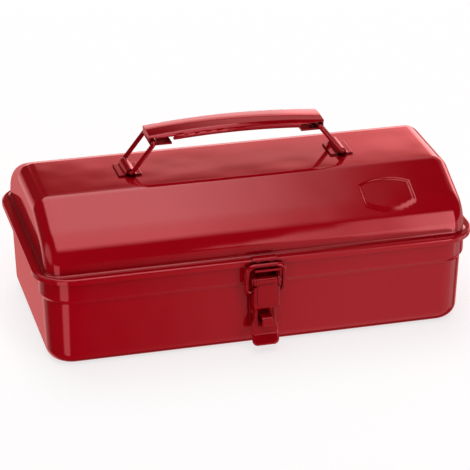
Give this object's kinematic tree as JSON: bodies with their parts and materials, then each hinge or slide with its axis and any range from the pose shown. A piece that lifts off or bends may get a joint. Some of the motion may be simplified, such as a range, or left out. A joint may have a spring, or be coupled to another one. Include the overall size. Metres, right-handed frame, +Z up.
{
  "type": "hip roof tool box",
  "caption": "Long pressed steel tool box with a hinged hip roof lid, a wire loop toggle latch with a padlock staple, and an arched fold-down carrying handle.",
  "frame": {"origin": "middle of the tray's flat bottom face, under the crossing of the tray's two middle planes", "axes": "+X along the box, -Y towards the latch, +Z up through the handle"},
  "size_m": [0.29, 0.1708, 0.1302],
  "materials": {
    "tray_enamel": "glossy red stove enamel",
    "lid_enamel": "glossy red stove enamel",
    "hinge_enamel": "glossy red stove enamel",
    "latch_enamel": "glossy red stove enamel",
    "handle_enamel": "glossy red stove enamel"
  },
  "bodies": {
    "tray": {"tray_shell": "tray_enamel", "hinge_tray_leaf_left": "hinge_enamel", "hinge_tray_leaf_right": "hinge_enamel", "hinge_pin_left": "hinge_enamel", "hinge_pin_right": "hinge_enamel", "latch_base": "latch_enamel", "padlock_staple": "latch_enamel", "latch_pin": "latch_enamel"},
    "lid": {"lid_shell": "lid_enamel", "hinge_lid_leaf_left": "hinge_enamel", "hinge_lid_leaf_right": "hinge_enamel", "latch_keeper": "latch_enamel", "handle_bracket_left": "handle_enamel", "handle_bracket_right": "handle_enamel"},
    "grip": {"grip": "handle_enamel"},
    "link_left": {"handle_link_left": "handle_enamel"},
    "link_right": {"handle_link_right": "handle_enamel"},
    "latch_lever": {"latch_lever": "latch_enamel"},
    "latch_loop": {"latch_loop": "latch_enamel"}
  },
  "joints": [
    {"name": "lid_hinge", "type": "hinge", "parent": "tray", "child": "lid", "pos_m": [0, 0.08105, 0.058], "axis": [-1, 0, 0], "range_deg": [0, 105]},
    {"name": "grip_slide", "type": "slide", "parent": "lid", "child": "grip", "axis": [0, 0, -1], "range_m": [0, 0.019]},
    {"name": "link_left_fold", "type": "hinge", "parent": "lid", "child": "link_left", "pos_m": [-0.071, 0, 0.1028], "axis": [0, 1, 0], "range_deg": [0, 50]},
    {"name": "link_right_fold", "type": "hinge", "parent": "lid", "child": "link_right", "pos_m": [0.071, 0, 0.1028], "axis": [0, -1, 0], "range_deg": [0, 50]},
    {"name": "latch_lever_swing", "type": "hinge", "parent": "tray", "child": "latch_lever", "pos_m": [0, -0.0815, 0.051], "axis": [-1, 0, 0], "range_deg": [0, 100]},
    {"name": "latch_loop_swing", "type": "hinge", "parent": "latch_lever", "child": "latch_loop", "pos_m": [0, -0.0795, 0.043], "axis": [-1, 0, 0], "range_deg": [-76, 0]}
  ],
  "couplings": [
    {"joint": "link_left_fold", "follows": "grip_slide", "rad_per_m": 45.206},
    {"joint": "link_right_fold", "follows": "grip_slide", "rad_per_m": 45.206},
    {"joint": "latch_loop_swing", "follows": "latch_lever_swing", "ratio": -0.75}
  ]
}
